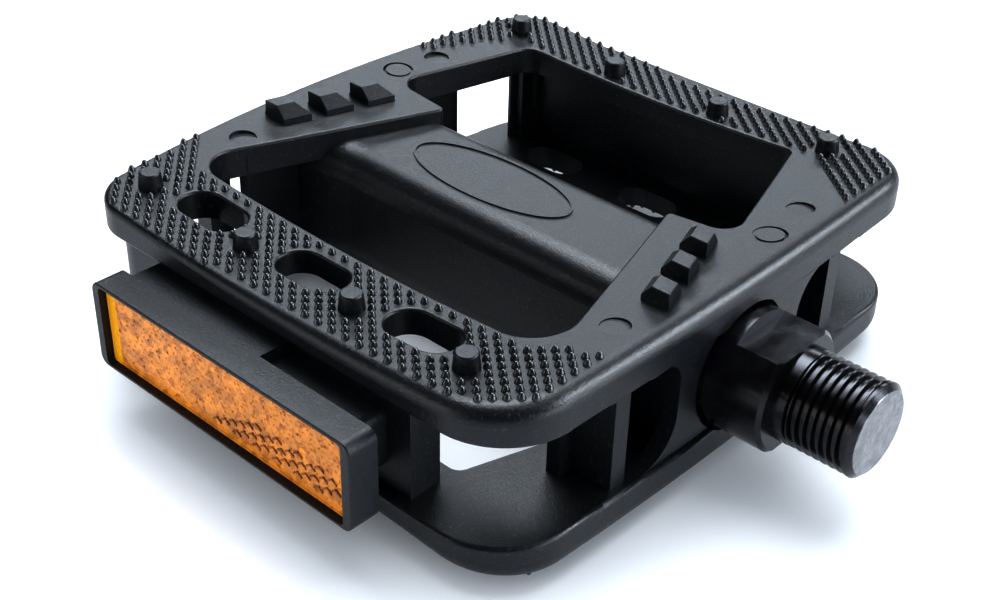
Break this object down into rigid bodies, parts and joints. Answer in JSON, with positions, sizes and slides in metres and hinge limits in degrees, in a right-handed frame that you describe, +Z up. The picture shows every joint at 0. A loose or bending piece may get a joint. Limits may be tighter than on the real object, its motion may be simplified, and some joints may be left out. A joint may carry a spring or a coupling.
{
  "type": "flat pedal",
  "caption": "Flat bicycle pedal: a dished two-sided resin platform with grip pins and amber side reflectors, spinning on a threaded steel spindle.",
  "frame": {"origin": "centre of the spindle's shoulder face, where the crank arm seats, on the spindle's axis", "axes": "+Y along the spindle out of the thread towards the crank arm, +X forward, +Z up"},
  "size_m": [0.115, 0.1122, 0.0334],
  "materials": {
    "platform_resin": "black glass-filled resin, fine mould grain",
    "spindle_steel": "black oxide, oiled",
    "bearing_steel": "ground hardened steel",
    "retainer_steel": "pressed sheet steel",
    "hardware_steel": "zinc plated",
    "screw_steel": "black oxide screws",
    "seal_rubber": "black nitrile rubber",
    "cap_plastic": "black plastic",
    "housing_plastic": "black moulded plastic, fine grain",
    "amber_lens": "clear amber acrylic with cube-corner prisms",
    "backing_plastic": "moulded plastic back plate"
  },
  "bodies": {
    "spindle": {"spindle": "spindle_steel", "adjusting_cone": "bearing_steel", "keyed_lock_washer": "hardware_steel", "lock_nut": "hardware_steel"},
    "platform": {"platform_body": "platform_resin", "inner_dust_seal": "seal_rubber", "inner_bearing_cup": "bearing_steel", "outer_bearing_cup": "bearing_steel", "outer_dust_cap": "cap_plastic", "front_reflector_housing": "housing_plastic", "front_reflector_lens": "amber_lens", "front_reflector_backing": "backing_plastic", "front_reflector_screws": "screw_steel", "rear_reflector_housing": "housing_plastic", "rear_reflector_lens": "amber_lens", "rear_reflector_backing": "backing_plastic", "rear_reflector_screws": "screw_steel"},
    "inner_ball_set": {"inner_balls": "bearing_steel", "inner_ball_retainer": "retainer_steel"},
    "outer_ball_set": {"outer_balls": "bearing_steel", "outer_ball_retainer": "retainer_steel"}
  },
  "joints": [
    {"name": "platform_spin", "type": "hinge", "parent": "spindle", "child": "platform", "pos_m": [0, 0, 0], "axis": [0, 1, 0], "continuous": true},
    {"name": "inner_ball_orbit", "type": "hinge", "parent": "spindle", "child": "inner_ball_set", "pos_m": [0, -0.0162, 0], "axis": [0, 1, 0], "continuous": true},
    {"name": "outer_ball_orbit", "type": "hinge", "parent": "spindle", "child": "outer_ball_set", "pos_m": [0, -0.0815, 0], "axis": [0, 1, 0], "continuous": true}
  ],
  "couplings": [
    {"joint": "inner_ball_orbit", "follows": "platform_spin", "ratio": 0.5729},
    {"joint": "outer_ball_orbit", "follows": "platform_spin", "ratio": 0.5891}
  ]
}
